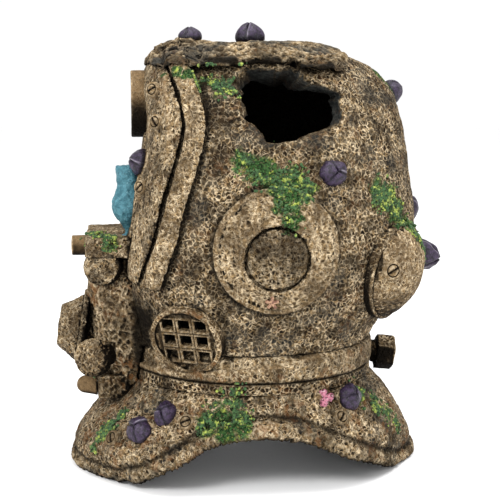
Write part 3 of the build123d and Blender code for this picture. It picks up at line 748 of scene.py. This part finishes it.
# The slanting seam where the bonnet's skirt meets the neck ring, as places along y and their heights
SKIRT_Y = (-40, -8.7, -0.7, 13.2, 24.2, 34.6, 48)
SKIRT_Z = (43.0, 45.8, 46.9, 49.1, 51.1, 52.7, 54)
RING_INSIDE = 46


def over_seam(points):
    return points[:, 2] - np.interp(points[:, 1], SKIRT_Y, SKIRT_Z)


def skirted_ring(points, normals):
    """The bonnet's skirt runs down over the top of the ring, to the seam."""
    outer = np.hypot(points[:, 0], points[:, 1])
    pull = 1.4 * fade(over_seam(points), -0.3, 0.5) * (outer > RING_INSIDE)
    moved = points.copy()
    moved[:, :2] *= (1 - pull / np.maximum(outer, 1))[:, None]
    return moved


def ring_tan(points):
    return 0.15 + 0.7 * bell(over_seam(points), -0.8, 0.9)


def ring_bands(points):
    """Painted shade in grooves round the neck: one under the bonnet's skirt and one between the rings."""
    strokes = 0.45 * fade(noise(points * (1.9, 1.9, 0.5), 1.6, 37), 0.0, 0.5)
    band = bell(points[:, 2], 44.2, 1.3)
    line = bell(points[:, 2], 40.6, 0.7)
    return np.clip(0.9 * line + band * strokes, 0, 0.95)


# How each cast piece is made: the skin's voxel and softening, the lumps, pits and paint on it
RESIN = {
    "bonnet_shell": dict(voxel=0.8, soften=2, lumps=0.45, pits=0.40, pit_size=4.4, ridge_paint=0.30, gold=0.9,
                         rust=0.25, slate=0.35, extra_painted_shade=shell_painted_shade, shape=sheared_hole, inside=hole_faces),
    "crown_ridge": dict(voxel=0.5, soften=3, lumps=0.7, pits=1.0, pit_size=4.2, ridge_paint=0.9, gold=0.9,
                        fine=0.3, rust=0.2, slate=0.7, tree=BARE_TREE, shape=melted_crown, bolder=calmer_rim,
                        extra_painted_shade=crown_cracks),
    "corselet": dict(voxel=0.62, soften=3, lumps=0.6, pits=0.35, pit_size=3.0, ridge_paint=0.55, rust=0.55,
                     slate=0.5, shape=rolled_hem, bolder=hem_lip, extra_painted_shade=hem_groove),
    "face_frame": dict(voxel=0.5, soften=2, lumps=0.3, pits=0.25, pit_size=2.4, rust=0.2, tan=frame_tan,
                       shape=lined_frame),
    "face_moulding": dict(voxel=0.5, soften=12, lumps=0.3, pits=0.35, pit_size=2.0, gold=1.2, tan=0.30),
    "face_window_rim": dict(voxel=0.5, soften=5, lumps=0.3, tan=0.2),
    "forehead_port_collar": dict(voxel=0.4, soften=6, lumps=0.15, fine=0.15, tan=collar_tan,
                                 extra_painted_shade=collar_dark),
    "port_plate": dict(voxel=0.5, soften=3, lumps=0.3, pits=0.15, pit_size=2.0, gold=0.75, tan=port_rim),
    "port_dome": dict(voxel=0.4, soften=2, lumps=0.2, pits=0.30, pit_size=1.9, ridge_paint=1.0, tan=0.35),
    "port_disc": dict(voxel=0.35, soften=2, lumps=0.2, pits=0.30, pit_size=1.9, gold=0.7),
    "grille_rim": dict(voxel=0.35, soften=5, lumps=0.12, tan=0.4, rust=0.5),
    "grille_plate": dict(voxel=0.28, soften=1, lumps=0.08, shape=lipped_grille, extra_painted_shade=grille_groove,
                         fine=0.5, tan=0.35),
    "rear_boss_flange": dict(voxel=0.4, soften=3, lumps=0.2, tan=0.15),
    "rear_boss_dome": dict(voxel=0.4, soften=3, lumps=0.3, pits=0.2, tan=0.5),
    "chin_canister": dict(voxel=0.5, soften=3, lumps=0.6, pits=0.8, pit_size=3.4, ridge_paint=1.0, gold=1.1,
                          fine=0.6, tan=0.15, rust=0.65, extra_painted_shade=chin_recess),
    "latch_ledge": dict(voxel=0.4, soften=4, lumps=0.4, pits=0.2, pit_size=2.0, tan=0.2),
    "latch_knob": dict(voxel=0.25, soften=3, lumps=0.1, fine=0.1, tan=0.95),
    "latch_lug": dict(voxel=0.35, soften=3, lumps=0.3, pits=0.2, pit_size=2.0),
    "valve_flange": dict(voxel=0.4, soften=3, lumps=0.2, pits=0.2),
    "valve_cap": dict(voxel=0.4, soften=4, lumps=0.3, pits=0.3, tan=0.2),
    "spitcock_cap": dict(voxel=0.3, soften=2, lumps=0.2, pits=0.45, pit_size=2.2, tan=0.3),
    "spitcock_stem": dict(voxel=0.3, soften=2, lumps=0.2, tan=0.4),
    "upper_neck_ring": dict(voxel=0.5, soften=3, lumps=0.3, pits=0.15, pit_size=2.0, tan=ring_tan, rust=0.5,
                            extra_painted_shade=ring_bands, shape=skirted_ring, tree=BARE_TREE),
    "lower_neck_ring": dict(voxel=0.5, soften=2, lumps=0.2, rust=0.3, extra_painted_shade=ring_bands),
    "rear_clamp_stud": dict(voxel=0.3, soften=2, lumps=0.15, gold=0.5),
    "rear_clamp_nut": dict(voxel=0.35, soften=3, lumps=0.25, tan=0.3),
    "front_clamp_lug": dict(voxel=0.4, soften=5, lumps=0.3, pits=0.15, pit_size=2.0, tan=0.3, rust=0.6),
    "front_clamp_nub": dict(voxel=0.3, soften=3, lumps=0.15, fine=0.1, tan=0.9, rust=0.6),
}
for part, style in RESIN.items():
    for side in ("",) if part in NODES else ("near_", "far_"):
        cast(side + part, **style)


# ---- turned pieces: screws and barnacles -------------------------------------------------------
def seats(node):
    """Where each separate solid of a CAD node stands: its foot, outward normal and radius."""
    points = get_points(NODES[node].data)
    keys = {}
    group = np.arange(len(points))
    spots = np.round(points / 0.01).astype(np.int64)
    for index, key in enumerate(map(tuple, spots)):
        group[index] = keys.setdefault(key, index)

    def root(index):
        while group[index] != index:
            group[index] = group[group[index]]
            index = group[index]
        return index

    for edge in NODES[node].data.edges:
        a, b = root(edge.vertices[0]), root(edge.vertices[1])
        group[max(a, b)] = min(a, b)
    label = np.array([root(index) for index in range(len(points))])
    found = []
    for mark in sorted(set(label)):
        part = points[label == mark]
        centre = Vector((part.min(0) + part.max(0)) / 2)
        foot, normal, _, _ = SOLID_TREE.find_nearest(centre)
        if (centre - foot).dot(normal) < 0:
            foot, normal, _, _ = SOLID_TREE.find_nearest(centre + normal * 3)
        offset = part - np.array(foot)
        along = offset @ np.array(normal)
        across = np.linalg.norm(offset - np.outer(along, np.array(normal)), axis=1)
        found.append((foot, normal, across.max(), along.max()))
    return found


def turned(profile, sides, foot, normal):
    """A closed turned mesh, from (radius, height) steps out from the centre, and its turn and place."""
    turn = Vector(normal).to_track_quat("Z", "Y").to_matrix()
    angles = np.arange(sides) * 2 * math.pi / sides
    local = [(0.0, 0.0, profile[0][1])]
    for radius, height in profile[1:]:
        local.extend((radius * math.cos(a), radius * math.sin(a), height) for a in angles)
    local.append((0.0, 0.0, profile[-1][1]))
    rings = len(profile) - 1
    faces = []
    for k in range(sides):
        after = (k + 1) % sides
        faces.append((0, 1 + k, 1 + after))
        for r in range(rings - 1):
            low, high = 1 + r * sides, 1 + (r + 1) * sides
            faces.append((low + k, high + k, high + after, low + after))
        last = 1 + (rings - 1) * sides
        faces.append((last + k, len(local) - 1, last + after))
    return np.array(local), faces, np.array(turn), np.array(foot)


def joined_mesh(name, parts):
    """One mesh from (points, faces, paint) parts."""
    points, faces, paint = [], [], {}
    for spots, sides, tones in parts:
        first = len(points)
        points.extend(spots)
        faces.extend([tuple(first + i for i in face) for face in sides])
        for key, values in tones.items():
            paint.setdefault(key, []).extend(values)
    mesh = bpy.data.meshes.new(name)
    mesh.from_pydata([tuple(p) for p in np.array(points)], [], faces)
    set_points(mesh, np.array(points))
    mesh.validate()
    for key, values in paint.items():
        set_paint(mesh, key, values)
    return mesh


# A screw from its centre out, in head radii and heights: domed head, groove, raised ring and foot
SCREW_STEPS = ((0, 0.9), (0.35, 0.9), (0.62, 0.84), (0.78, 0.66), (0.84, 0.05), (0.95, 0.02), (1.0, 0.55),
               (1.12, 0.62), (1.28, 0.45), (1.42, -0.6), (1.42, -2.2))
HEAD_SHARE = 0.86
SCREW_LIFT, FRAME_SCREW_LIFT, FRAME_SCREW_TILT = 0.35, 1.3, 0.7


def screws(node):
    """Pan heads with a slot, each inside an incised ring."""
    parts = []
    on_frame = node == "face_frame_screws"
    for index, (foot, normal, radius, height) in enumerate(seats(node)):
        foot = foot + normal * (FRAME_SCREW_LIFT if on_frame else SCREW_LIFT)
        if on_frame:
            normal = (normal + Vector((math.copysign(FRAME_SCREW_TILT, foot.x), 0, 0))).normalized()
        head = HEAD_SHARE * radius
        profile = [(r * head, h * max(height, 0.9)) for r, h in SCREW_STEPS]
        local, faces, turn, origin = turned(profile, 40, foot, normal)
        angle = 0.5 + 1.7 * index
        across = local[:, 0] * math.sin(angle) - local[:, 1] * math.cos(angle)
        reach = np.hypot(local[:, 0], local[:, 1]) / head
        slot = (reach < 0.80) * (1 - fade(np.abs(across), 0.30, 0.55))
        local[:, 2] -= 0.5 * slot * (local[:, 2] > 0)
        groove = (np.abs(reach - 0.90) < 0.09) * (local[:, 2] < 0.5)
        # Painted shade in the screw's slot and in the incised ring round it.
        painted_shade = np.clip(slot + groove, 0, 1)
        points = local @ turn.T + origin
        none = np.zeros(len(points))
        parts.append((points, faces, {"painted_shade": painted_shade, "gold": 0.9 - 0.5 * painted_shade, "ridge": 0.6 * (1 - painted_shade),
                                      "fine": none + 0.3, "tan": none + 0.35, "moss": none, "rust": none}))
    new_piece(node + "_cast", joined_mesh(node, parts), node, "bronze_resin")


def barnacle_steps(rows=22):
    """A barnacle from its tip out, in radii and heights: a slightly hollow dome and its foot."""
    steps = [(0, 1.0)]
    for row in range(1, rows + 1):
        tilt = row / rows * math.pi / 2
        steps.append((math.sin(tilt) ** 0.95, math.cos(tilt) ** 0.95 - 0.10 * math.sin(2 * tilt)))
    return steps + [(0.98, -0.12), (0.9, -0.3)]


BARNACLE_STEPS = barnacle_steps()


def barnacles(node):
    """Split domes with a few deep grooves between their plates."""
    parts = []
    for index, (foot, normal, radius, height) in enumerate(seats(node)):
        profile = [(r * radius * 1.02, h * height * 1.02) for r, h in BARNACLE_STEPS]
        local, faces, turn, origin = turned(profile, 64, foot, normal)
        angle = np.arctan2(local[:, 1], local[:, 0])
        reach = np.hypot(local[:, 0], local[:, 1]) / radius
        spin = 0.9 + 2.1 * index + 0.4 * len(node)
        depth = np.zeros(len(local))
        for count, split in enumerate((spin, spin + 2.0, spin + 4.1)):
            away = np.abs((angle - split + math.pi) % (2 * math.pi) - math.pi)
            off = away * np.maximum(reach, 0.02) * radius
            line = bell(off, 0, 0.34) * (np.cos(angle - split) > 0)
            depth = np.maximum(depth, line * (1.0 if count < 2 else 0.7))
            if count == 0:
                edge = bell(off, 0.7, 0.2) * (np.sin(angle - split) > 0) * fade(reach, 0.15, 0.4)
        ribs = np.abs(np.sin(angle * 2.5 + spin))
        local[:, :2] *= (1 + 0.10 * ribs * fade(reach, 0.2, 0.9))[:, None]
        local[:, :2] *= (1 + 0.07 * np.cos(2 * angle + spin))[:, None]
        local[:, 2] -= depth * 0.26 * height * (local[:, 2] > 0)
        points = local @ turn.T + origin
        points = points + (points - origin) * 0.06 * noise(points, 2.2, 41)[:, None]
        # Painted shade in the grooves and round the foot of each dome.
        low = 1 - fade(local[:, 2], 0.0, 0.9)
        parts.append((points, faces, {"painted_shade": np.clip(depth * 0.95 + low * 0.8, 0, 1), "edge": edge * 0.6}))
    new_piece(node + "_plates", joined_mesh(node, parts), node, "barnacle_paint")


for name in NODES:
    if "screw" in name:
        screws(name)
    if "barnacle" in name:
        barnacles(name)


# ---- moss, corals and starfish -----------------------------------------------------------------
def ball(level=1):
    """Points and faces of a small round blob."""
    mesh = bpy.data.meshes.new("blob")
    shape = bmesh.new()
    bmesh.ops.create_icosphere(shape, subdivisions=level, radius=1.0)
    shape.to_mesh(mesh)
    shape.free()
    points = np.array([v.co for v in mesh.vertices])
    faces = [tuple(face.vertices) for face in mesh.polygons]
    bpy.data.meshes.remove(mesh)
    return points, faces


BLOB_POINTS, BLOB_FACES = ball()


def moss(node, seed):
    """Clumps of small tufts that sit on whatever is under them."""
    draw = np.random.default_rng(seed)
    parts = []
    for x, y, z, radius in MOSS[node]:
        for _ in range(int(22 * radius ** 1.6)):
            spot = Vector(np.array((x, y, z)) + draw.normal(0, 0.50 * radius, 3))
            foot, normal, _, _ = SOLID_TREE.find_nearest(spot)
            size = draw.uniform(0.22, 0.66)
            centre = np.array(foot) + np.array(normal) * size * 0.40
            if noise(centre[None, :], 2.6, 53)[0] < -0.15:
                continue
            lump = BLOB_POINTS * size * draw.uniform(0.7, 1.3, 3)
            lump = lump * (1 + 0.35 * noise(lump + centre, 0.5, 54))[:, None]
            parts.append((lump + centre, BLOB_FACES, {}))
    new_piece(node + "_tufts", joined_mesh(node, parts), node, "moss_flock")


for number, name in enumerate(MOSS):
    moss(name, 100 + number)


def grown(node, voxel, soften, rough, size, slot):
    """A rough growth: coral or starfish."""
    mesh = remeshed(node, voxel, soften)
    points, normals = get_points(mesh), get_normals(mesh)
    set_points(mesh, points + normals * (rough * fractal(points, size, 61))[:, None])
    new_piece(node + "_grown", mesh, node, slot)


grown("blue_tube_coral", 0.35, 2, 0.35, 2.2, "blue_coral_paint")
grown("pink_coral", 0.2, 2, 0.35, 1.4, "pink_coral_paint")
grown("starfish", 0.15, 3, 0.12, 0.8, "starfish_paint")


# ---- air line and lens: the CAD shapes with their own finishes ---------------------------------
KEPT = {"forehead_port_lens": "dark_lens", "inlet_grommet": "grommet_rubber",
        "inner_airline": "silicone_airline", "inlet_nipple": "clear_nipple",
        "air_stone_nipple": "clear_nipple", "air_stone": "air_stone_grit",
        "air_stone_bracket": "bracket_resin"}
for name, slot in KEPT.items():
    NODES[name].data.materials.clear()
    NODES[name].data.materials.append(FINISHES[slot])


# ---- floor, light and camera --------------------------------------------------------------------
def stage_floor():
    mesh = bpy.data.meshes.new("floor")
    side = 4.0
    corners = [(-side, -side, 0), (side, -side, 0), (side, side, 0), (-side, side, 0)]
    mesh.from_pydata(corners, [], [(0, 1, 2, 3)])
    floor = bpy.data.objects.new("floor", mesh)
    bpy.context.scene.collection.objects.link(floor)
    p = Paint("floor_white")
    mesh.materials.append(p.finish(p.mix(p.noise(60.0), (0.975, 0.975, 0.975), (0.985, 0.985, 0.985)), 0.9))


def area_light(name, place, size, power):
    data = bpy.data.lights.new(name, "AREA")
    data.shape = "DISK"
    data.size = size
    data.energy = power
    light = bpy.data.objects.new(name, data)
    light.location = place
    light.rotation_mode = "QUATERNION"
    light.rotation_quaternion = (Vector((0, 0, 0.08)) - Vector(place)).to_track_quat("-Z", "Y")
    bpy.context.scene.collection.objects.link(light)


def white_world(strength):
    world = bpy.data.worlds.new("studio")
    world.use_nodes = True
    world.node_tree.nodes["Background"].inputs["Color"].default_value = (1, 1, 1, 1)
    world.node_tree.nodes["Background"].inputs["Strength"].default_value = strength
    bpy.context.scene.world = world


def photo_camera():
    """From a little above, square on to the helmet's broken side."""
    azimuth, elevation, distance, height, lens = math.radians(84), math.radians(8), 0.450, 0.083, 81.0
    target = Vector((0, AXIS_Y * MM, height))
    back = Vector((math.sin(azimuth) * math.cos(elevation), -math.cos(azimuth) * math.cos(elevation),
                   math.sin(elevation)))
    data = bpy.data.cameras.new("camera")
    data.lens = lens
    data.sensor_width = 36.0
    data.clip_start, data.clip_end = 0.01, 20
    camera = bpy.data.objects.new("camera", data)
    camera.location = target + back * distance
    camera.rotation_mode = "QUATERNION"
    camera.rotation_quaternion = (-back).to_track_quat("-Z", "Y")
    bpy.context.scene.collection.objects.link(camera)
    bpy.context.scene.camera = camera


stage_floor()
area_light("key", (0.70, -0.45, 0.75), 0.35, 7)
area_light("top", (0.10, 0.20, 1.00), 0.6, 6.5)
area_light("fill", (0.60, 0.70, 0.35), 0.8, 1.5)
white_world(1.02)
photo_camera()
bpy.context.scene.view_settings.view_transform = "Standard"
write_size()
